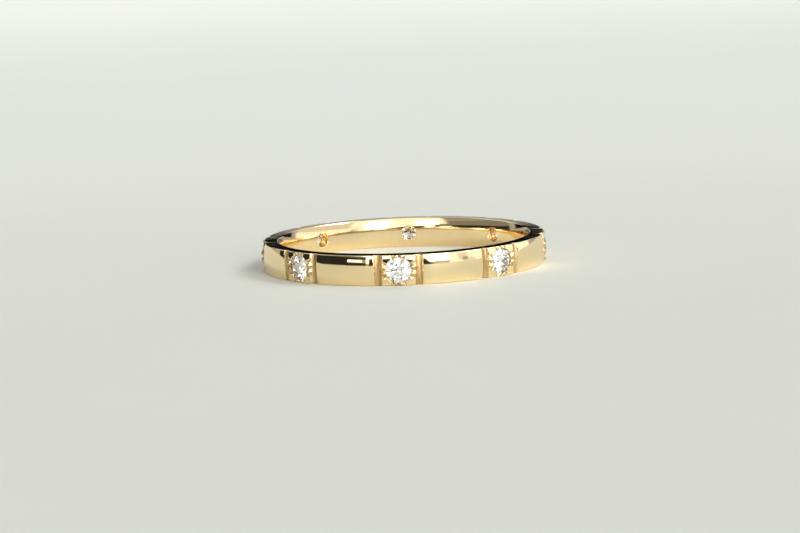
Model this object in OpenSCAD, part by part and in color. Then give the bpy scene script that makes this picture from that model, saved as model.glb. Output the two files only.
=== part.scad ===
// Eternity ring: a domed gold band with round brilliants bead set at even steps all the way round.
// Millimetres. The ring lies on its side: its axis is Z and its lower rim is at Z = 0.
// Stone 1 faces -Y, and the others follow it towards +X.

/* [Band] */
// Inner diameter at the middle of the band
bore_d = 16.5; // [14.5:0.1:22]
// Width of the band along its axis
band_w = 2.0; // [1.98:0.01:2.3]
// Thickness of the wall at its thickest
wall = 1.24; // [1.2:0.01:1.5]
// Radius of the outer face, seen across the width
dome_r = 4.5; // [4:0.1:10]
// Width of the straight part of the inner face
bore_flat = 0.3; // [0.2:0.05:0.6]
// Radius that eases the inner face towards each rim
comfort_r = 1.8; // [1.6:0.1:4]
// Chamfer along the four edges of the rims
edge_break = 0.05; // [0.02:0.01:0.08]

/* [Grooves] */
// Distance between the two grooves that frame a stone, measured along the outer face
groove_gap = 2.74; // [2.74:0.02:3.2]
// Radius of the half round cutter
groove_r = 0.27; // [0.2:0.01:0.3]
// Depth of a groove
groove_depth = 0.2; // [0.1:0.01:0.22]

/* [Stones] */
// Diameter of a stone
stone_d = 1.7; // [1.6:0.01:1.7]
// Table width as a share of the diameter
table_share = 0.57; // [0.5:0.01:0.62]
// Slope of the main facets above the girdle, in degrees
crown_slope = 34.5; // [33:0.5:36]
// Slope of the main facets below the girdle, in degrees
pavilion_slope = 40.8; // [40:0.2:41.6]
// Thickness of the girdle
girdle_t = 0.05; // [0.03:0.01:0.06]
// Height of the table above the highest part of the band
table_rise = 0.02; // [0:0.01:0.05]
// Quarter turn share by which each stone is turned on from the one before
stone_twist = 0.27; // [0:0.01:1]

/* [Setting] */
// Gap between a stone and the metal
set_gap = 0.02; // [0.015:0.005:0.03]
// Diameter of the hole drilled through behind each stone
drill_d = 0.95; // [0.7:0.05:1.1]
// Radius of the beads to the left and right of each stone
side_bead_r = 0.16; // [0.14:0.01:0.17]
// Distance from the stone's edge out to the middle of those beads
side_bead_out = 0.11; // [0.1:0.01:0.12]
// Radius of the beads above and below each stone
rim_bead_r = 0.1; // [0.08:0.01:0.11]
// Distance from the stone's edge out to the middle of those beads
rim_bead_out = 0.03; // [0.02:0.01:0.04]
// Turn of each bead from the middle of its pair, in degrees
bead_turn = 12; // [11:0.5:14]

/* [Hidden] */
$fn = 96;
STONES = 8;
step = 360 / STONES;
first_stone = -90;

bore_r = bore_d / 2;
outer_r = bore_r + wall;
mid_z = band_w / 2;

// Radii of the two edges of a rim, before the chamfers
dome_edge_r = outer_r - dome_r + sqrt(dome_r * dome_r - mid_z * mid_z);
comfort_h = mid_z - bore_flat / 2;
comfort_edge_r = bore_r + comfort_r - sqrt(comfort_r * comfort_r - comfort_h * comfort_h);

groove_turn = groove_gap / 2 / outer_r * 180 / PI;
// Sweep of the cutter across the band, which ends well clear of both rims
groove_arc = 2 * asin(band_w * 0.75 / dome_r);

// The stone's main heights, as distances from the ring's axis
stone_r = stone_d / 2;
table_r = stone_r * table_share;
table_h = outer_r + table_rise;
girdle_top_h = table_h - (stone_r - table_r) * tan(crown_slope);
girdle_low_h = girdle_top_h - girdle_t;
culet_h = girdle_low_h - stone_r * tan(pavilion_slope);

// The seat follows the stone's pavilion at the gap
seat_r = stone_r + set_gap;
drill_r = drill_d / 2;
seat_low_h = girdle_low_h + set_gap * tan(pavilion_slope) - set_gap / cos(pavilion_slope);
drill_h = seat_low_h - (seat_r - drill_r) * tan(pavilion_slope);

// Facet joints above the girdle lie half way from the table's edge to the girdle, and those below it
// reach three quarters of the way down to the point
MAINS = 8;
main_step = 360 / MAINS;
half = main_step / 2;
star_r = (table_r * cos(half) + stone_r) / 2;
star_h = table_h - (table_r - star_r * cos(half)) / (table_r - stone_r) * (table_h - girdle_top_h);
lower_r = stone_r / 4;
lower_h = culet_h + lower_r * cos(half) * tan(pavilion_slope);

function around(r, angle, h) = [r * cos(angle), r * sin(angle), h];

// Height at which the middle of a bead clears the slope of the crown by the gap
function bead_h(r, out) = girdle_top_h + (r + set_gap - out * sin(crown_slope)) / cos(crown_slope);

// Turns what is drawn on +Z to point outwards where stone i sits
module at_stone(i) {
    rotate([0, 0, first_stone + i * step]) translate([0, 0, mid_z]) rotate([0, 90, 0]) children();
}

module comfort_cut() {
    difference() {
        translate([bore_r - 1, bore_flat / 2]) square([1 + comfort_r, band_w]);
        translate([bore_r + comfort_r, bore_flat / 2]) circle(comfort_r);
    }
}

// Section of the band, with the middle of its width on the X axis
module section() {
    low_in = comfort_edge_r + edge_break;
    low_out = dome_edge_r - edge_break;
    difference() {
        intersection() {
            translate([bore_r, -mid_z]) square([wall, band_w]);
            translate([outer_r - dome_r, 0]) circle(dome_r);
            polygon([[low_in, -mid_z], [low_out, -mid_z], [low_out + mid_z, 0],
                     [low_out, mid_z], [low_in, mid_z], [low_in - mid_z, 0]]);
        }
        comfort_cut();
        mirror([0, 1]) comfort_cut();
    }
}

// Half round groove that follows the dome from rim to rim
module groove(angle) {
    rotate([0, 0, angle]) translate([outer_r - dome_r, 0, mid_z]) rotate([90, 0, 0])
        rotate([0, 0, -groove_arc / 2]) rotate_extrude(angle = groove_arc)
            translate([dome_r - groove_depth + groove_r, 0]) circle(groove_r);
}

// Room for a stone, drawn on +Z: its well, its bearing and the hole drilled through
module seat() {
    well = outer_r + 1;
    rotate_extrude()
        polygon([[0, bore_r - 1], [drill_r, bore_r - 1], [drill_r, drill_h], [seat_r, seat_low_h],
                 [seat_r, well], [0, well]]);
}

// Two beads beside each other, on opposite edges of a stone
module bead_pairs(r, out) {
    for (edge = [0, 180], way = [-1, 1])
        rotate([0, 0, edge + way * bead_turn]) translate([stone_r + out, 0, bead_h(r, out)]) sphere(r);
}

module beads() {
    bead_pairs(rim_bead_r, rim_bead_out);
    rotate([0, 0, 90]) bead_pairs(side_bead_r, side_bead_out);
}

module band() {
    color("#d8ab62") union() {
        difference() {
            translate([0, 0, mid_z]) rotate_extrude() section();
            for (i = [0:STONES - 1]) {
                at_stone(i) seat();
                for (side = [-1, 1]) groove(first_stone + i * step + side * groove_turn);
            }
        }
        for (i = [0:STONES - 1]) at_stone(i) beads();
    }
}

// Round brilliant with 57 facets and a sixteen sided girdle, drawn on +Z
module brilliant() {
    mains = [0:MAINS - 1];
    sides = [0:2 * MAINS - 1];
    table_points = [for (k = mains) around(table_r, k * main_step, table_h)];
    star_points = [for (k = mains) around(star_r, k * main_step + half, star_h)];
    top_points = [for (k = sides) around(stone_r, k * half, girdle_top_h)];
    low_points = [for (k = sides) around(stone_r, k * half, girdle_low_h)];
    lower_points = [for (k = mains) around(lower_r, k * main_step + half, lower_h)];

    // Each corner's number in the joined list of points
    function table(k) = k % MAINS;
    function star(k) = MAINS + (k + MAINS) % MAINS;
    function top(k) = 2 * MAINS + k % (2 * MAINS);
    function low(k) = 4 * MAINS + k % (2 * MAINS);
    function lower(k) = 6 * MAINS + (k + MAINS) % MAINS;
    culet = 7 * MAINS;

    polyhedron(
        concat(table_points, star_points, top_points, low_points, lower_points, [[0, 0, culet_h]]),
        concat(
            [[for (k = mains) table(MAINS - 1 - k)]],
            [for (k = mains) [table(k), table(k + 1), star(k)]],
            [for (k = mains) [table(k), star(k), top(2 * k), star(k - 1)]],
            [for (k = mains) [star(k), top(2 * k + 1), top(2 * k)]],
            [for (k = mains) [star(k), top(2 * k + 2), top(2 * k + 1)]],
            [for (k = sides) [top(k), top(k + 1), low(k + 1), low(k)]],
            [for (k = mains) [lower(k), low(2 * k), low(2 * k + 1)]],
            [for (k = mains) [lower(k), low(2 * k + 1), low(2 * k + 2)]],
            [for (k = mains) [culet, lower(k - 1), low(2 * k), lower(k)]]
        )
    );
}

module stone(i) {
    color("#f2f5fb") at_stone(i) rotate([0, 0, i * stone_twist * 90]) brilliant();
}

band();
for (i = [1:STONES]) stone(i - 1);
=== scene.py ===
"""Looks of the eternity ring: polished gold with grooves, raised beads and graver cuts, and its stones."""

from math import asin, atan2, cos, pi, radians, sin, sqrt, tan
from random import Random

import bmesh
import bpy
from mathutils import Matrix, Vector


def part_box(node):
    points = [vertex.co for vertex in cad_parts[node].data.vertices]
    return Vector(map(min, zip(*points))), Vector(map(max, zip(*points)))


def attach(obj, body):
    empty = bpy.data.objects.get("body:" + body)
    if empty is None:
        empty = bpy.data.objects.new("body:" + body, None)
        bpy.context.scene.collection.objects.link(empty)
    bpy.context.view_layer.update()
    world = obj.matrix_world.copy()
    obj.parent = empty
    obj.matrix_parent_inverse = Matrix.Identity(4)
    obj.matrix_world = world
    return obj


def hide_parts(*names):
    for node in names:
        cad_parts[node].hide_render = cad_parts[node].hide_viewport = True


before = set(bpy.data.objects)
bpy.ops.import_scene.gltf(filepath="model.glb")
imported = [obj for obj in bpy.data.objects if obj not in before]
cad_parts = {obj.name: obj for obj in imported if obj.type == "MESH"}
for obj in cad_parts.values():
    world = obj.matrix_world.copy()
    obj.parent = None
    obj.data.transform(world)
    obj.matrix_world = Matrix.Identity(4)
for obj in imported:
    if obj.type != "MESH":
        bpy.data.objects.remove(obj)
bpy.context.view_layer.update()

# Sizes in millimetres, as the part has them
MM = 0.001
STONES = 8
BORE_R = 8.25
WALL = 1.24
OUTER_R = BORE_R + WALL
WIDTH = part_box("band")[1].z / MM
MIDDLE = WIDTH / 2
DOME_R = 4.5
BORE_FLAT = 0.3
COMFORT_R = 1.8
EDGE_R = 0.05
# The rims are polished a hair lower towards the outer face
RIM_DROP = 0.01

# Grooves: a half round flute with softened lips on each side of a stone. The long panels between two
# stones are polished down towards their grooves.
GROOVE_AT = 1.37
FLUTE_R = 0.27
FLUTE_DEPTH = 0.2
LIP_R = 0.12
LIP_OUT = sqrt((FLUTE_R + LIP_R) ** 2 - (FLUTE_R - FLUTE_DEPTH + LIP_R) ** 2)
LIP_TURN = asin(LIP_OUT / (FLUTE_R + LIP_R))
FLUTE_HALF_W = FLUTE_R * sin(LIP_TURN)
ROLL_LENGTH = 0.42
ROLL_R = 2.9

# Stones and their seats, with heights counted from the ring's axis
TABLE_H = -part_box("stone_1")[0].y / MM
STONE_R = 0.85
TABLE_SHARE = 0.57
CROWN_SLOPE = radians(34.5)
PAVILION_SLOPE = radians(40.8)
GIRDLE = 0.05
GAP = 0.02
SEAT_R = STONE_R + GAP
DRILL_R = 0.475
GIRDLE_TOP_H = TABLE_H - STONE_R * (1 - TABLE_SHARE) * tan(CROWN_SLOPE)
SEAT_LOW_H = GIRDLE_TOP_H - GIRDLE - GAP * (1 / cos(PAVILION_SLOPE) - tan(PAVILION_SLOPE))
DRILL_H = SEAT_LOW_H - (SEAT_R - DRILL_R) * tan(PAVILION_SLOPE)

# Rounded edges of the well and of the drilled hole, and the height over the inner face where the wall
# of the hole ends
WELL_EDGE_R = 0.02
HOLE_EDGE_R = 0.03
HOLE_END = 0.06

# Beads: two beside each other on every side of a stone, the larger ones towards the grooves. "at" is the
# distance of a bead's middle from the middle of the stone, and "turn" its turn from the middle of its side.
SIDE_BEAD = {"at": 0.98, "turn": radians(12), "long": 0.23, "wide": 0.18, "middle_h": 9.39, "high": 0.17}
RIM_BEAD = {"at": 0.885, "turn": radians(12), "long": 0.10, "wide": 0.12, "middle_h": 9.38, "high": 0.10}
BEAD_KINDS = (SIDE_BEAD, RIM_BEAD)
# How much the hand varies each measure of a bead, as shares of it
BEAD_VARIES = {"turn": (0.9, 1.15), "long": (0.92, 1.05), "wide": (0.9, 1.05), "high": (0.85, 1.0)}
# How far a bead reaches over the stone, how softly it meets the face round it, how far its underside
# keeps from the crown, and how much higher than that the well's edge is where no bead covers it
BEAD_REACH = 0.07
BEAD_BLEND = 0.015
BEAD_LIFT = 1.6 * GAP / cos(CROWN_SLOPE)
BARE_LIFT = 0.05

# Graver cuts that raised the beads: one in the middle of each side and one either way of it, at so many
# times a bead's turn, each off by so many degrees at most
CUT_ASIDE = 2.15
CUT_WANDER = 1.5
CUT_DEPTH = 0.14
CUT_HALF_W = 0.07
CUT_START = STONE_R * 0.9
CUT_END = 1.24

# How satin each face is, from 0 for a mirror polish to 1. The same share also darkens the gold's colour
# there as painted shade. A flute turns satin within a short way of its border, and a cut within a third of
# its depth.
SATIN_SHADE_FLUTE = 1.0
SATIN_SHADE_CUT = 1.0
SATIN_SHADE_BORE = 0.12
SATIN_SHADE_BEAD = (0.4, 1.0)
SATIN_SHADE_FADE = 0.02
SATIN_SHADE_CUT_DEPTH = CUT_DEPTH / 3

# Part of the outer face that is drawn round the stone, and of the inner face round its drilled hole
CELL_X = 1.01
CELL_Z = 0.93
HOLE_CELL_Z = 0.62

# Fineness of the mesh: steps of each curve, then rows, columns and rings as shares of their stretch
CELL_COLUMNS = 32
CELL_ROWS = 28
EDGE_STEPS = 5
LIP_STEPS = 4
FLUTE_STEPS = 5
RIM_ROWS = (0.05, 0.35, 0.65, 0.95)
BORE_ROWS = (0.12, 0.4, 0.7)
PANEL_COLUMNS = (0.02, 0.06, 0.1, 0.15, 0.21, 0.32, 0.45, 0.58, 0.72, 0.86, 1.0)
CELL_RINGS = (0.12, 0.25, 0.38, 0.5, 0.61, 0.71, 0.8, 0.88, 0.95, 1.0)
EDGE_RINGS = (0.5, 0.15, 0.0)
UNDER_RINGS = (0.3, 1.0)
BORE_RINGS = (0.0, 0.06, 0.25, 0.5, 0.75, 1.0)
# Distance of the rings that keep a corner in the well crisp, and how far the slope of the seat falls there
CORNER = 0.012
CORNER_FALL = 0.011
# Corners of two sectors that lie closer than this are joined
JOIN_WITHIN = 0.0005


# Section of the band

def dome_radius(z, depth=0.0):
    """Distance from the ring's axis to the outer face, at height z over the middle of the band."""
    return OUTER_R - DOME_R + sqrt((DOME_R - depth) ** 2 - z * z)


def bore_radius(z):
    """Distance from the ring's axis to the comfort fit inner face."""
    over = max(abs(z) - BORE_FLAT / 2, 0.0)
    return BORE_R + COMFORT_R - sqrt(COMFORT_R ** 2 - over ** 2)


def arc(centre, radius, start, end, count):
    """Points along an arc in the section, the first one left out."""
    steps = [start + (end - start) * k / count for k in range(1, count + 1)]
    return [(centre[0] + radius * cos(a), centre[1] + radius * sin(a)) for a in steps]


def upper_section(depth):
    """The section's upper half between the rows drawn round stone and hole, as (radius, height)."""
    edge_z = MIDDLE - EDGE_R
    low_z = edge_z - RIM_DROP
    outer_reach = DOME_R - depth - EDGE_R
    outer_turn = asin(low_z / outer_reach)
    outer_centre = (OUTER_R - DOME_R + outer_reach * cos(outer_turn), low_z)
    inner_reach = COMFORT_R - EDGE_R
    inner_turn = asin((edge_z - BORE_FLAT / 2) / inner_reach)
    inner_centre = (BORE_R + COMFORT_R - inner_reach * cos(inner_turn), edge_z)
    start_z = low_z + EDGE_R * sin(outer_turn)
    points = [(dome_radius(start_z, depth), start_z)]
    points += arc(outer_centre, EDGE_R, outer_turn, pi / 2, EDGE_STEPS)
    for share in RIM_ROWS:
        radius = outer_centre[0] + (inner_centre[0] - outer_centre[0]) * share
        points.append((radius, MIDDLE - RIM_DROP * (1 - share)))
    points.append((inner_centre[0], MIDDLE))
    points += arc(inner_centre, EDGE_R, pi / 2, pi - inner_turn, EDGE_STEPS)
    end_z = points[-1][1]
    for share in BORE_ROWS:
        z = end_z + (HOLE_CELL_Z - end_z) * share
        points.append((bore_radius(z), z))
    return points


def section(depth):
    """The band's closed section, from the middle of the lower rim round to that row again."""
    outer = [CELL_Z * (2 * k / CELL_ROWS - 1) for k in range(CELL_ROWS + 1)]
    inner = [HOLE_CELL_Z * (1 - 2 * k / CELL_ROWS) for k in range(CELL_ROWS + 1)]
    upper = upper_section(depth)
    lower = [(r, -z) for r, z in reversed(upper)]
    half = len(lower) // 2
    rows = lower[half:] + [(dome_radius(z, depth), z) for z in outer] + upper
    rows += [(bore_radius(z), z) for z in inner] + lower[:half]
    return rows + rows[:1]


def rolled(distance):
    """How far a long panel is polished down at a distance from its groove."""
    return max(ROLL_LENGTH - distance, 0.0) ** 2 / (2 * ROLL_R)


def columns():
    """Places along the outer face between two panels' middles, as (distance, depth under the dome)."""
    lip_turns = [LIP_TURN * k / LIP_STEPS for k in range(LIP_STEPS + 1)]
    lip = [(LIP_OUT - LIP_R * sin(a), LIP_R * (1 - cos(a))) for a in lip_turns]
    flute_turns = [LIP_TURN * k / FLUTE_STEPS for k in range(FLUTE_STEPS - 1, 0, -1)]
    flute = [(FLUTE_R * sin(a), FLUTE_DEPTH - FLUTE_R * (1 - cos(a))) for a in flute_turns]
    half_groove = lip + flute
    groove = [(GROOVE_AT - x, depth) for x, depth in half_groove] + [(GROOVE_AT, FLUTE_DEPTH)]
    lip_drop = rolled(0.0) / LIP_OUT
    groove += [(GROOVE_AT + x, depth + x * lip_drop) for x, depth in reversed(half_groove)]
    half_cell = CELL_COLUMNS // 2
    cell = [(CELL_X * k / half_cell, 0.0) for k in range(1, half_cell + 1)]
    panel_start = GROOVE_AT + LIP_OUT
    panel_length = OUTER_R * pi / STONES - panel_start
    panel = [(panel_start + panel_length * share, rolled(panel_length * share)) for share in PANEL_COLUMNS]
    right = cell + groove + panel
    return [(-x, depth) for x, depth in reversed(right)] + [(0.0, 0.0)] + right


# Setting of one stone, in its own frame: x along the band, z across it and h out from the ring's axis

def beads_of(number):
    """The beads round one stone, each a little different as handwork is."""
    hand = Random(number)
    beads = []
    for side in range(4):
        kind = BEAD_KINDS[side % 2]
        for way in (-1, 1):
            bead = dict(kind)
            for measure, (least, most) in BEAD_VARIES.items():
                bead[measure] = kind[measure] * hand.uniform(least, most)
            bead["angle"] = side * pi / 2 + way * bead["turn"]
            # Each bead's satin share, which also darkens its colour as painted shade
            bead["satin_and_shade"] = hand.uniform(*SATIN_SHADE_BEAD)
            beads.append(bead)
    return beads


def cuts_of(number):
    """Angles of the graver cuts round one stone: between the two beads of a side and beside them."""
    hand = Random(number + STONES)
    cuts = []
    for side in range(4):
        turn = BEAD_KINDS[side % 2]["turn"]
        for way in (-CUT_ASIDE, 0, CUT_ASIDE):
            wander = radians(hand.uniform(-CUT_WANDER, CUT_WANDER))
            cuts.append(side * pi / 2 + way * turn + wander)
    return cuts


def smooth_max(a, b, blend):
    """The larger of two heights, rounded over where they are within blend of each other."""
    overlap = max(blend - abs(a - b), 0.0) / blend
    return max(a, b) + overlap * overlap * blend / 4


def bead_height(x, z, bead):
    """Height of a bead over (x, z), or None outside it."""
    along = x * cos(bead["angle"]) + z * sin(bead["angle"]) - bead["at"]
    across = z * cos(bead["angle"]) - x * sin(bead["angle"])
    reach = (along / bead["long"]) ** 2 + (across / bead["wide"]) ** 2
    if reach >= 1:
        return None
    return bead["middle_h"] + bead["high"] * sqrt(1 - reach)


def cut_depth(x, z, angle):
    """Depth of a V shaped graver cut that starts at the stone and runs out to nothing."""
    along = x * cos(angle) + z * sin(angle)
    across = abs(z * cos(angle) - x * sin(angle))
    if along < CUT_START or along > CUT_END or across > CUT_HALF_W:
        return 0.0
    return CUT_DEPTH * (1 - across / CUT_HALF_W) * (CUT_END - along) / (CUT_END - STONE_R)


def worked(x, h, z, beads, cuts):
    """Height of the outer face after the graver's cuts and beads."""
    h -= max(cut_depth(x, z, angle) for angle in cuts)
    for bead in beads:
        top = bead_height(x, z, bead)
        if top is not None:
            h = smooth_max(h, top, BEAD_BLEND)
    return h


def bead_share(angle, beads):
    """How far a bead covers the well's edge at this angle, from 0 to 1."""
    best = 0.0
    for bead in beads:
        off = (angle - bead["angle"] + pi) % (2 * pi) - pi
        off *= SEAT_R / bead["wide"]
        if abs(off) < 1:
            best = max(best, sqrt(1 - off * off))
    return best


def rounding(over, radius):
    """Drop of a rounded edge at a distance from its face."""
    over = min(max(over, 0.0), radius)
    return radius - sqrt(radius ** 2 - (radius - over) ** 2)


def cell_ring(start, angle, share, beads, cuts):
    """Point on a ring between the cell's border and the well's edge."""
    cover = bead_share(angle, beads)
    edge = SEAT_R - BEAD_REACH * cover + WELL_EDGE_R
    x = start[0] + (edge * cos(angle) - start[0]) * share
    z = start[1] + (edge * sin(angle) - start[1]) * share
    return x, worked(x, sqrt(dome_radius(z) ** 2 - x * x), z, beads, cuts), z


def edge_ring(angle, over, beads, cuts):
    """Point on the well's rounded edge, at a distance from its wall."""
    cover = bead_share(angle, beads)
    radius = SEAT_R - BEAD_REACH * cover + over
    x, z = radius * cos(angle), radius * sin(angle)
    h = worked(x, sqrt(dome_radius(z) ** 2 - x * x), z, beads, cuts)
    return x, h - (1 - cover) * rounding(over, WELL_EDGE_R), z


def under_bead(angle, share, beads):
    """Point below the well's edge, where a bead's underside follows the crown of the stone."""
    cover = bead_share(angle, beads)
    radius = SEAT_R - BEAD_REACH * cover * (1 - share)
    h = GIRDLE_TOP_H + (STONE_R - radius) * tan(CROWN_SLOPE) + BEAD_LIFT
    if share < 1:
        h += (1 - cover) * BARE_LIFT
    return radius * cos(angle), h, radius * sin(angle)


def bore_ring(end, angle, share):
    """Point on a ring between the drilled hole's edge and the border of its cell on the inner face."""
    radius = DRILL_R + HOLE_EDGE_R
    x = radius * cos(angle) + (end[0] - radius * cos(angle)) * share
    z = radius * sin(angle) + (end[1] - radius * sin(angle)) * share
    return x, sqrt(bore_radius(z) ** 2 - x * x), z


def hole_edge(angle, over):
    """Point on the drilled hole's rounded edge."""
    radius = DRILL_R + over
    x, z = radius * cos(angle), radius * sin(angle)
    return x, sqrt(bore_radius(z) ** 2 - x * x) + rounding(over, HOLE_EDGE_R), z


def satin_and_shade_at(x, h, z, beads, cuts):
    """How satin the gold is at a point, where tools left flutes, cuts and the inner face; it also sets the
    painted shade there.
    """
    radius = sqrt(x * x + h * h)
    if abs(z) > MIDDLE - EDGE_R / 2:
        return 0.0
    if radius < bore_radius(z) + GAP:
        return SATIN_SHADE_BORE
    if radius < OUTER_R - 2 * FLUTE_DEPTH:
        return 0.0
    for bead in beads:
        if bead_height(x, z, bead) is not None:
            return bead["satin_and_shade"]
    from_flute = abs(abs(atan2(x, h) * OUTER_R) - GROOVE_AT)
    if from_flute < FLUTE_HALF_W:
        return SATIN_SHADE_FLUTE * min((FLUTE_HALF_W - from_flute) / SATIN_SHADE_FADE, 1.0)
    deepest = max(cut_depth(x, z, angle) for angle in cuts)
    return SATIN_SHADE_CUT * min(deepest / SATIN_SHADE_CUT_DEPTH, 1.0)


def wall_rings():
    """Rings down the well, as (radius, height), from below the girdle to the drilled hole's inner end."""
    wall = [(SEAT_R, SEAT_LOW_H + CORNER), (SEAT_R, SEAT_LOW_H)]
    seat_top = (SEAT_R - CORNER, SEAT_LOW_H - CORNER_FALL)
    seat_middle = ((SEAT_R + DRILL_R) / 2, (SEAT_LOW_H + DRILL_H) / 2)
    seat_foot = (DRILL_R + CORNER, DRILL_H + CORNER_FALL)
    hole_heights = (DRILL_H, DRILL_H - CORNER, (DRILL_H + BORE_R) / 2, BORE_R + HOLE_END)
    return wall + [seat_top, seat_middle, seat_foot] + [(DRILL_R, h) for h in hole_heights]


def ring_stack(starts, ends, beads, cuts):
    """All rings from the cell's border through the well to the inner face, each as a list of points."""
    angles = spoke_angles()
    spokes = list(zip(starts, angles, ends))
    stack = []
    for share in CELL_RINGS:
        stack.append([cell_ring(start, angle, share, beads, cuts) for start, angle, _ in spokes])
    for share in EDGE_RINGS:
        stack.append([edge_ring(angle, share * WELL_EDGE_R, beads, cuts) for angle in angles])
    for share in UNDER_RINGS:
        stack.append([under_bead(angle, share, beads) for angle in angles])
    for radius, h in wall_rings():
        stack.append([(radius * cos(angle), h, radius * sin(angle)) for angle in angles])
    for share in reversed(EDGE_RINGS):
        stack.append([hole_edge(angle, share * HOLE_EDGE_R) for angle in angles])
    for share in BORE_RINGS:
        stack.append([bore_ring(end, angle, share) for _, angle, end in spokes])
    return stack


# Mesh of the band: a grid for each sector, opened at its stone and its hole, and rings that join the two

def flat_grid(bm, across, rows):
    """A flat grid with this many faces across and up, as its vertices by (column, row)."""
    made = bmesh.ops.create_grid(bm, x_segments=across, y_segments=rows, size=0.5)
    grid = {}
    for v in made["verts"]:
        grid[round((v.co.x + 0.5) * across), round((v.co.y + 0.5) * rows)] = v
    return grid


def border(left, right, low, high):
    """The border of a block of the grid as (column, row), counterclockwise from its lower right."""
    places = [(right, j) for j in range(low, high)]
    places += [(i, high) for i in range(right, left, -1)]
    places += [(left, j) for j in range(high, low, -1)]
    places += [(i, low) for i in range(left, right)]
    return places


def open_block(bm, grid, left, right, low, high):
    """Takes away the faces of a block of the grid."""
    block = {grid[i, j] for i in range(left, right + 1) for j in range(low, high + 1)}
    gone = [f for f in bm.faces if block.issuperset(f.verts)]
    bmesh.ops.delete(bm, geom=gone, context="FACES")


def spoke_angles():
    """Angle of each spoke between the cell's border and the stone, even along every side of the cell."""
    corner = atan2(CELL_Z, CELL_X)
    sides = ((-corner, corner, CELL_ROWS), (corner, pi - corner, CELL_COLUMNS),
             (pi - corner, pi + corner, CELL_ROWS), (pi + corner, 2 * pi - corner, CELL_COLUMNS))
    return [start + (end - start) * k / count for start, end, count in sides for k in range(count)]


def build_sector(bm, number):
    """One eighth of the band, round its stone, turned to its place."""
    places = columns()
    sections = {depth: section(depth) for _, depth in places}
    beads, cuts = beads_of(number), cuts_of(number)
    upper_rows = len(upper_section(0.0))
    low = upper_rows - upper_rows // 2
    high = low + CELL_ROWS
    worked_rows = range(low - EDGE_STEPS, high + EDGE_STEPS + 1)
    grid = flat_grid(bm, len(places) - 1, len(sections[0.0]) - 1)
    for (i, j), v in grid.items():
        along, depth = places[i]
        radius, z = sections[depth][j]
        turn = along / OUTER_R
        x, h = radius * sin(turn), radius * cos(turn)
        if j in worked_rows and abs(along) < GROOVE_AT:
            h = worked(x, h, z, beads, cuts)
        v.co = (x, z, h)

    left = (len(places) - CELL_COLUMNS) // 2
    right = left + CELL_COLUMNS
    to_hole = CELL_ROWS + 1 + upper_rows
    outer_border = border(left, right, low, high)
    inner_border = [(i, low + high + to_hole - j) for i, j in outer_border]
    open_block(bm, grid, left, right, low, high)
    open_block(bm, grid, left, right, low + to_hole, high + to_hole)

    outer_verts = [grid[place] for place in outer_border]
    starts = [(v.co.x, v.co.y) for v in outer_verts]
    ends = [(grid[place].co.x, grid[place].co.y) for place in inner_border]
    close_rings(bm, outer_verts, ring_stack(starts, ends, beads, cuts))
    place_sector(bm, number, beads, cuts)


def place_sector(bm, number, beads, cuts):
    """Notes how satin the new sector is at each vertex, which also sets its painted shade, and turns it to
    its place on the band.
    """
    sector = [v for v in bm.verts if not v.tag]
    satin_and_shade = bm.verts.layers.float["satin_and_shade"]
    for v in sector:
        x, z, h = v.co
        v[satin_and_shade] = satin_and_shade_at(x, h, z, beads, cuts)
        v.co = (x, -h, z + MIDDLE)
        v.tag = True
    turn = Matrix.Rotation(number * 2 * pi / STONES, 3, "Z")
    bmesh.ops.rotate(bm, verts=sector, cent=(0, 0, 0), matrix=turn)


def close_rings(bm, loop, stack):
    """Extrudes a closed loop of vertices from ring to ring."""
    spoke = bm.verts.layers.int["spoke"]
    for k, v in enumerate(loop):
        v[spoke] = k + 1
    edges = [bm.edges.get((loop[k - 1], loop[k])) for k in range(len(loop))]
    for ring in stack:
        made = bmesh.ops.extrude_edge_only(bm, edges=edges)["geom"]
        fresh = {g for g in made if isinstance(g, bmesh.types.BMVert)}
        edges = [g for g in made if isinstance(g, bmesh.types.BMEdge) and fresh.issuperset(g.verts)]
        for v in fresh:
            x, h, z = ring[v[spoke] - 1]
            v.co = (x, z, h)


def make_band():
    """The whole band as one closed mesh."""
    bm = bmesh.new()
    bm.verts.layers.int.new("spoke")
    # Share of satin at each vertex, which also sets the painted shade in the gold's colour
    bm.verts.layers.float.new("satin_and_shade")
    for number in range(STONES):
        build_sector(bm, number)
    bmesh.ops.remove_doubles(bm, verts=bm.verts, dist=JOIN_WITHIN)
    bmesh.ops.recalc_face_normals(bm, faces=bm.faces)
    bm.verts.layers.int.remove(bm.verts.layers.int["spoke"])
    bmesh.ops.scale(bm, vec=(MM, MM, MM), verts=bm.verts)
    for face in bm.faces:
        face.smooth = True
    mesh = bpy.data.meshes.new("gold_band")
    bm.to_mesh(mesh)
    bm.free()
    band = bpy.data.objects.new("gold_band", mesh)
    bpy.context.scene.collection.objects.link(band)
    weigh = band.modifiers.new("even_shading", "WEIGHTED_NORMAL")
    weigh.mode = "FACE_AREA_WITH_ANGLE"
    weigh.weight = 50
    return band


band = make_band()
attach(band, "root")
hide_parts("band")


# Materials

# Patterns of noise, with a scale per metre and a stretch along each axis
TONE_CLOUDS = {"scale": 260, "detail": 3}
HAZE = {"scale": 900, "detail": 4}
HAIRLINES = {"scale": 2500, "detail": 3, "stretch": (1, 1, 0.2)}
TOOL_STREAKS = {"scale": 5000, "detail": 3, "stretch": (1, 1, 0.08)}
STONE_CLOUDS = {"scale": 800, "detail": 2}
FLOOR_MOTTLE = {"scale": 30, "detail": 5}
# Noise keeps to this stretch almost everywhere, and what follows a pattern is spread over it
NOISE_LOW = 0.3
NOISE_HIGH = 0.7

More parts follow.
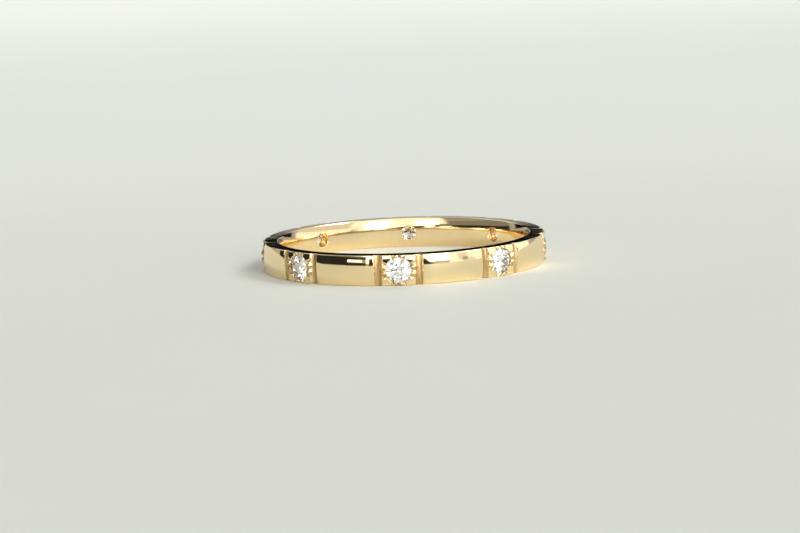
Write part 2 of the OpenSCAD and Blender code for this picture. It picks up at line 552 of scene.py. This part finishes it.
# The two tones that each surface wanders between, and the roughness of polished and of satin gold. The
# satin tones are darker than the polished ones as painted shade in flutes, cuts, beads and the inner face.
BRIGHT_GOLD = ((0.985, 0.775, 0.45), (0.965, 0.79, 0.48))
SHADED_SATIN_GOLD = ((0.43, 0.27, 0.11), (0.75, 0.555, 0.29))
BRIGHT_ROUGH = (0.035, 0.075)
SATIN_ROUGH = (0.26, 0.44)
STONE_TONES = ((0.98, 0.98, 0.975), (0.955, 0.965, 0.975))
STONE_IOR = 2.417
FLOOR_TONES = ((0.511, 0.522, 0.477), (0.502, 0.516, 0.472))
FLOOR_ROUGH = 0.7
FLOOR_GLOSS = 0.2

# Relief of the hairlines in metres, and how many times deeper the streaks of the tools are
RELIEF = 0.000004
RELIEF_STRENGTH = 0.12
STREAK_RELIEF = 4.0


def new_material(name):
    """A material with an empty shader to build on."""
    material = bpy.data.materials.new(name)
    material.use_nodes = True
    return material, material.node_tree, material.node_tree.nodes["Principled BSDF"]


def feed(tree, socket, value):
    """Gives a socket a number or a colour, or links it to another socket."""
    if isinstance(value, bpy.types.NodeSocket):
        tree.links.new(value, socket)
    elif isinstance(value, tuple):
        socket.default_value = (*value, 1)
    else:
        socket.default_value = value


def math_node(tree, operation, *values):
    """A math node fed by numbers and sockets."""
    node = tree.nodes.new("ShaderNodeMath")
    node.operation = operation
    for socket, value in zip(node.inputs, values):
        feed(tree, socket, value)
    return node.outputs[0]


def blend(tree, kind, share, first, second):
    """Mix of two numbers (FLOAT) or two colours (RGBA), each given as a value or as a socket."""
    mix = tree.nodes.new("ShaderNodeMix")
    mix.data_type = kind
    feed(tree, mix.inputs["Factor"], share)
    feed(tree, mix.inputs["A"], first)
    feed(tree, mix.inputs["B"], second)
    return mix.outputs["Result"]


def noise(tree, scale, detail, stretch=(1, 1, 1)):
    """Noise over the object's own coordinates."""
    place = tree.nodes.new("ShaderNodeTexCoord")
    mapping = tree.nodes.new("ShaderNodeMapping")
    mapping.inputs["Scale"].default_value = stretch
    texture = tree.nodes.new("ShaderNodeTexNoise")
    texture.inputs["Scale"].default_value = scale
    texture.inputs["Detail"].default_value = detail
    tree.links.new(place.outputs["Object"], mapping.inputs["Vector"])
    tree.links.new(mapping.outputs["Vector"], texture.inputs["Vector"])
    return texture.outputs["Fac"]


def spread(tree, pattern, low, high):
    """A pattern of noise spread from low to high."""
    span = tree.nodes.new("ShaderNodeMapRange")
    span.inputs["From Min"].default_value = NOISE_LOW
    span.inputs["From Max"].default_value = NOISE_HIGH
    span.inputs["To Min"].default_value = low
    span.inputs["To Max"].default_value = high
    tree.links.new(pattern, span.inputs["Value"])
    return span.outputs["Result"]


def two_tone(tree, pattern, tones):
    """Colour that wanders between two tones as a pattern of noise does."""
    return blend(tree, "RGBA", spread(tree, pattern, 0, 1), *tones)


def polished_gold():
    """Yellow gold with the faint haze and hairlines of wear, satin and streaked where tools left it so, and
    darker there as painted shade.
    """
    material, tree, shader = new_material("polished_gold")
    shader.inputs["Metallic"].default_value = 1.0
    attribute = tree.nodes.new("ShaderNodeAttribute")
    attribute.attribute_name = "satin_and_shade"
    satin_and_shade = attribute.outputs["Fac"]
    streaks = noise(tree, **TOOL_STREAKS)
    bright = two_tone(tree, noise(tree, **TONE_CLOUDS), BRIGHT_GOLD)
    # Darker colour where the gold is satin: painted shade in flutes, cuts, beads and the inner face,
    # streaked as the tools go
    shaded_dull = two_tone(tree, streaks, SHADED_SATIN_GOLD)
    feed(tree, shader.inputs["Base Color"], blend(tree, "RGBA", satin_and_shade, bright, shaded_dull))
    polish = spread(tree, noise(tree, **HAZE), *BRIGHT_ROUGH)
    rough = math_node(tree, "MULTIPLY_ADD", satin_and_shade, spread(tree, streaks, *SATIN_ROUGH), polish)
    feed(tree, shader.inputs["Roughness"], rough)
    bump = tree.nodes.new("ShaderNodeBump")
    bump.inputs["Strength"].default_value = RELIEF_STRENGTH
    bump.inputs["Distance"].default_value = RELIEF
    streak_height = math_node(tree, "MULTIPLY", satin_and_shade, streaks)
    height = math_node(tree, "MULTIPLY_ADD", streak_height, STREAK_RELIEF, noise(tree, **HAIRLINES))
    feed(tree, bump.inputs["Height"], height)
    feed(tree, shader.inputs["Normal"], bump.outputs["Normal"])
    return material


def cut_stone():
    """Colourless brilliant with a trace of tint that shifts inside it."""
    material, tree, shader = new_material("cut_stone")
    shader.inputs["Transmission Weight"].default_value = 1.0
    shader.inputs["IOR"].default_value = STONE_IOR
    shader.inputs["Roughness"].default_value = 0.0
    feed(tree, shader.inputs["Base Color"], two_tone(tree, noise(tree, **STONE_CLOUDS), STONE_TONES))
    return material


def pale_paint():
    """Satin pale board that the ring lies on."""
    material, tree, shader = new_material("pale_paint")
    shader.inputs["Roughness"].default_value = FLOOR_ROUGH
    shader.inputs["Specular IOR Level"].default_value = FLOOR_GLOSS
    feed(tree, shader.inputs["Base Color"], two_tone(tree, noise(tree, **FLOOR_MOTTLE), FLOOR_TONES))
    return material


def wear(piece, material):
    """Gives a piece one material."""
    piece.data.materials.clear()
    piece.data.materials.append(material)


wear(band, polished_gold())
stone_finish = cut_stone()
for number in range(STONES):
    wear(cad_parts[f"stone_{number + 1}"], stone_finish)


# Floor, with its size in metres

FLOOR_SIZE = 30.0


def make_floor():
    """Wide flat floor that the ring's lower rim lies on."""
    bm = bmesh.new()
    bmesh.ops.create_grid(bm, x_segments=1, y_segments=1, size=FLOOR_SIZE / 2)
    mesh = bpy.data.meshes.new("floor")
    bm.to_mesh(mesh)
    bm.free()
    floor = bpy.data.objects.new("floor", mesh)
    bpy.context.scene.collection.objects.link(floor)
    wear(floor, pale_paint())
    return floor


make_floor()


# Light: soft studio surroundings by direction, brighter panels and dark flags laid over a plain sky

# Turn of the camera about the ring's axis from -Y towards +X, which every azimuth below counts from
CAMERA_TURN = radians(2.6)
AROUND = Matrix.Rotation(CAMERA_TURN, 4, "Z")

# Tint of the surroundings, and the sky's brightness below and above a stretch of elevations in degrees
SKY_TINT = (1.0, 0.995, 0.975)
SKY_LOW = {"el": 22, "level": 0.45}
SKY_HIGH = {"el": 46, "level": 0.3}

# Brightness of the pale backdrop that the camera sees over the floor's far edge
BACKDROP = 0.91

# The surroundings as seen through a stone have more contrast and a limit to their brightness, so that
# its facets keep their pattern
STONE_CONTRAST = 1.25
STONE_MOST = 3.5

# Panels, each laid over the ones before it: azimuth and half width, elevation and half height and softness
# of the edges in degrees, brightness, and a lean for one that narrows upwards
PANELS = {
    "back_high": {"az": 180, "wide": 62, "el": 39, "high": 15, "soft": 8, "level": 1.1},
    "overhead": {"az": 10, "wide": 50, "el": 68, "high": 16, "soft": 6, "level": 1.6},
    "left_wall": {"az": -76, "wide": 44, "el": 21, "high": 9, "soft": 5, "level": 0.24},
    "right_wall": {"az": 79, "wide": 43, "el": 26, "high": 18, "soft": 6, "level": 0.8},
    "right_low": {"az": 79, "wide": 43, "el": 5, "high": 11, "soft": 4, "level": 1.25},
    "front_high": {"az": 5, "wide": 48, "el": 43, "high": 25, "soft": 6, "level": 1.3},
    "front_lamp_left": {"az": -24, "wide": 11, "el": 26, "high": 9, "soft": 2, "level": 5.0},
    "front_lamp_right": {"az": 25, "wide": 11, "el": 24, "high": 13, "soft": 2, "level": 9.0},
    "key": {"az": 86, "wide": 22, "el": 48, "high": 12, "soft": 5, "level": 8.5},
    "left_shade": {"az": -75, "wide": 45, "el": 5, "high": 8, "soft": 1.5, "level": 0.025},
    "left_trim": {"az": -34, "wide": 3, "el": 7, "high": 2.5, "soft": 1.0, "level": 0.4},
    "left_lamp": {"az": -41, "wide": 6, "el": 7.2, "high": 1.9, "soft": 0.8, "level": 2.2},
    "front_sky": {"az": -1, "wide": 17, "el": 13, "high": 5, "soft": 1.5, "level": 1.1},
    "front_glow": {"az": -8, "wide": 22, "el": 10, "high": 6, "soft": 2.0, "level": 2.0},
    "window": {"az": 26, "wide": 10, "el": 11, "high": 6.5, "soft": 1.0, "level": 7.0},
    "window_sill": {"az": 31, "wide": 5, "el": 2.2, "high": 2.5, "soft": 1.0, "level": 0.6},
    "right_hill": {"az": 55, "wide": 8, "el": 2, "high": 4, "soft": 2.0, "level": 0.9, "lean": 1.5},
    "right_veil": {"az": 48, "wide": 4, "el": 7.5, "high": 5.5, "soft": 2.0, "level": 0.88},
    "right_spot": {"az": 50, "wide": 2.4, "el": 4.2, "high": 2.5, "soft": 1.5, "level": 0.42},
    "front_shade": {"az": -10.2, "wide": 10.3, "el": 4, "high": 7.5, "soft": 1.0, "level": 0.03},
    "front_slope": {"az": 0, "wide": 24.5, "el": 4, "high": 7.5, "soft": 1.0, "level": 0.03, "lean": 2.2},
    "back_shade": {"az": 180, "wide": 50, "el": 13, "high": 5.8, "soft": 0.6, "level": 0.0},
}


def ramp(tree, angle, start, end, low=0.0, high=1.0):
    """A value that goes smoothly from low to high while an angle goes from start to end, in degrees."""
    span = tree.nodes.new("ShaderNodeMapRange")
    span.interpolation_type = "SMOOTHSTEP"
    span.inputs["From Min"].default_value = radians(start)
    span.inputs["From Max"].default_value = radians(end)
    span.inputs["To Min"].default_value = low
    span.inputs["To Max"].default_value = high
    tree.links.new(angle, span.inputs["Value"])
    return span.outputs["Result"]


def on_panel(tree, azimuth, elevation, panel):
    """1 where a direction is on a panel, which narrows upwards by its lean, and 0 outside it."""
    soft = panel["soft"] / 2
    turn = math_node(tree, "SUBTRACT", azimuth, radians(panel["az"]) + CAMERA_TURN)
    aside = math_node(tree, "ABSOLUTE", math_node(tree, "WRAP", turn, pi, -pi))
    aside = math_node(tree, "MULTIPLY_ADD", elevation, panel.get("lean", 0.0), aside)
    above = math_node(tree, "ABSOLUTE", math_node(tree, "SUBTRACT", elevation, radians(panel["el"])))
    in_width = ramp(tree, aside, panel["wide"] + soft, panel["wide"] - soft)
    in_height = ramp(tree, above, panel["high"] + soft, panel["high"] - soft)
    return math_node(tree, "MULTIPLY", in_width, in_height)


def make_light():
    """World shader: the sky's brightness by elevation, then each panel mixed over it."""
    world = bpy.data.worlds.new("studio")
    bpy.context.scene.world = world
    world.use_nodes = True
    tree = world.node_tree
    direction = tree.nodes.new("ShaderNodeTexCoord").outputs["Generated"]
    parts = tree.nodes.new("ShaderNodeSeparateXYZ")
    tree.links.new(direction, parts.inputs["Vector"])
    to_front = math_node(tree, "MULTIPLY", parts.outputs["Y"], -1)
    azimuth = math_node(tree, "ARCTAN2", parts.outputs["X"], to_front)
    elevation = math_node(tree, "ARCSINE", parts.outputs["Z"])
    level = ramp(tree, elevation, SKY_LOW["el"], SKY_HIGH["el"], SKY_LOW["level"], SKY_HIGH["level"])
    for panel in PANELS.values():
        level = blend(tree, "FLOAT", on_panel(tree, azimuth, elevation, panel), level, panel["level"])
    ray = tree.nodes.new("ShaderNodeLightPath")
    crisp = math_node(tree, "MINIMUM", math_node(tree, "POWER", level, STONE_CONTRAST), STONE_MOST)
    level = blend(tree, "FLOAT", ray.outputs["Is Transmission Ray"], level, crisp)
    level = blend(tree, "FLOAT", ray.outputs["Is Camera Ray"], level, BACKDROP)
    back = tree.nodes["Background"]
    feed(tree, back.inputs["Color"], SKY_TINT)
    feed(tree, back.inputs["Strength"], level)


make_light()


# Two long lamps that hang low over the floor behind the ring and brighten it step by step towards the
# back. Each starts at some distance behind the ring and hangs at some height; all lengths in metres.
LAMP_WIDE = 1.2
LAMP_END = 4.0
LAMP_SPREAD = radians(120)
LAMPS = {
    "near_lamp": {"start": 0.03, "height": 0.07, "power": 3.3, "tint": (0.68, 0.7, 1.0)},
    "far_lamp": {"start": 0.2, "height": 0.08, "power": 4.6, "tint": (1.0, 1.0, 1.0)},
}


def make_lamp(name, place):
    """Lamp that faces straight down, behind the ring as the camera sees it."""
    data = bpy.data.lights.new(name, "AREA")
    data.shape = "RECTANGLE"
    data.size = LAMP_WIDE
    data.size_y = LAMP_END - place["start"]
    data.spread = LAMP_SPREAD
    data.energy = place["power"]
    data.color = place["tint"]
    lamp = bpy.data.objects.new(name, data)
    bpy.context.scene.collection.objects.link(lamp)
    lamp.visible_camera = False
    lamp.matrix_world = AROUND @ Matrix.Translation((0, (LAMP_END + place["start"]) / 2, place["height"]))


for lamp_name, lamp_place in LAMPS.items():
    make_lamp(lamp_name, lamp_place)


# Camera, as far from the ring and as high over it as in the photo. Its distance, the point it looks at,
# its lens and its sensor are in millimetres, and what it sees starts and ends at metres from it.

CAMERA_AWAY = 248.5
CAMERA_RISE = radians(8.368)
CAMERA_ROLL = radians(-2.252)
CAMERA_AIM = (-0.326, 0.0, -0.13)
LENS = 166.5
SENSOR_WIDTH = 36
SEEN_FROM = 0.01
SEEN_TO = 60


def make_camera():
    """Camera in front of the ring, turned about its axis by CAMERA_TURN."""
    data = bpy.data.cameras.new("camera")
    data.sensor_width = SENSOR_WIDTH
    data.lens = LENS
    data.clip_start = SEEN_FROM
    data.clip_end = SEEN_TO
    camera = bpy.data.objects.new("camera", data)
    bpy.context.scene.collection.objects.link(camera)
    place = Vector((0, -cos(CAMERA_RISE), sin(CAMERA_RISE))) * CAMERA_AWAY
    look = Vector(CAMERA_AIM) - place
    facing = look.to_track_quat("-Z", "Y").to_matrix().to_4x4()
    roll = Matrix.Rotation(CAMERA_ROLL, 4, "Z")
    camera.matrix_world = AROUND @ Matrix.Translation(place * MM) @ facing @ roll
    bpy.context.scene.camera = camera


make_camera()
bpy.context.scene.view_settings.view_transform = "Standard"

# Light crosses many facets before it leaves a stone, and goes to and fro inside the ring
bpy.context.scene.cycles.max_bounces = 24
bpy.context.scene.cycles.glossy_bounces = 12
bpy.context.scene.cycles.transmission_bounces = 20
bpy.context.scene.cycles.blur_glossy = 0.1
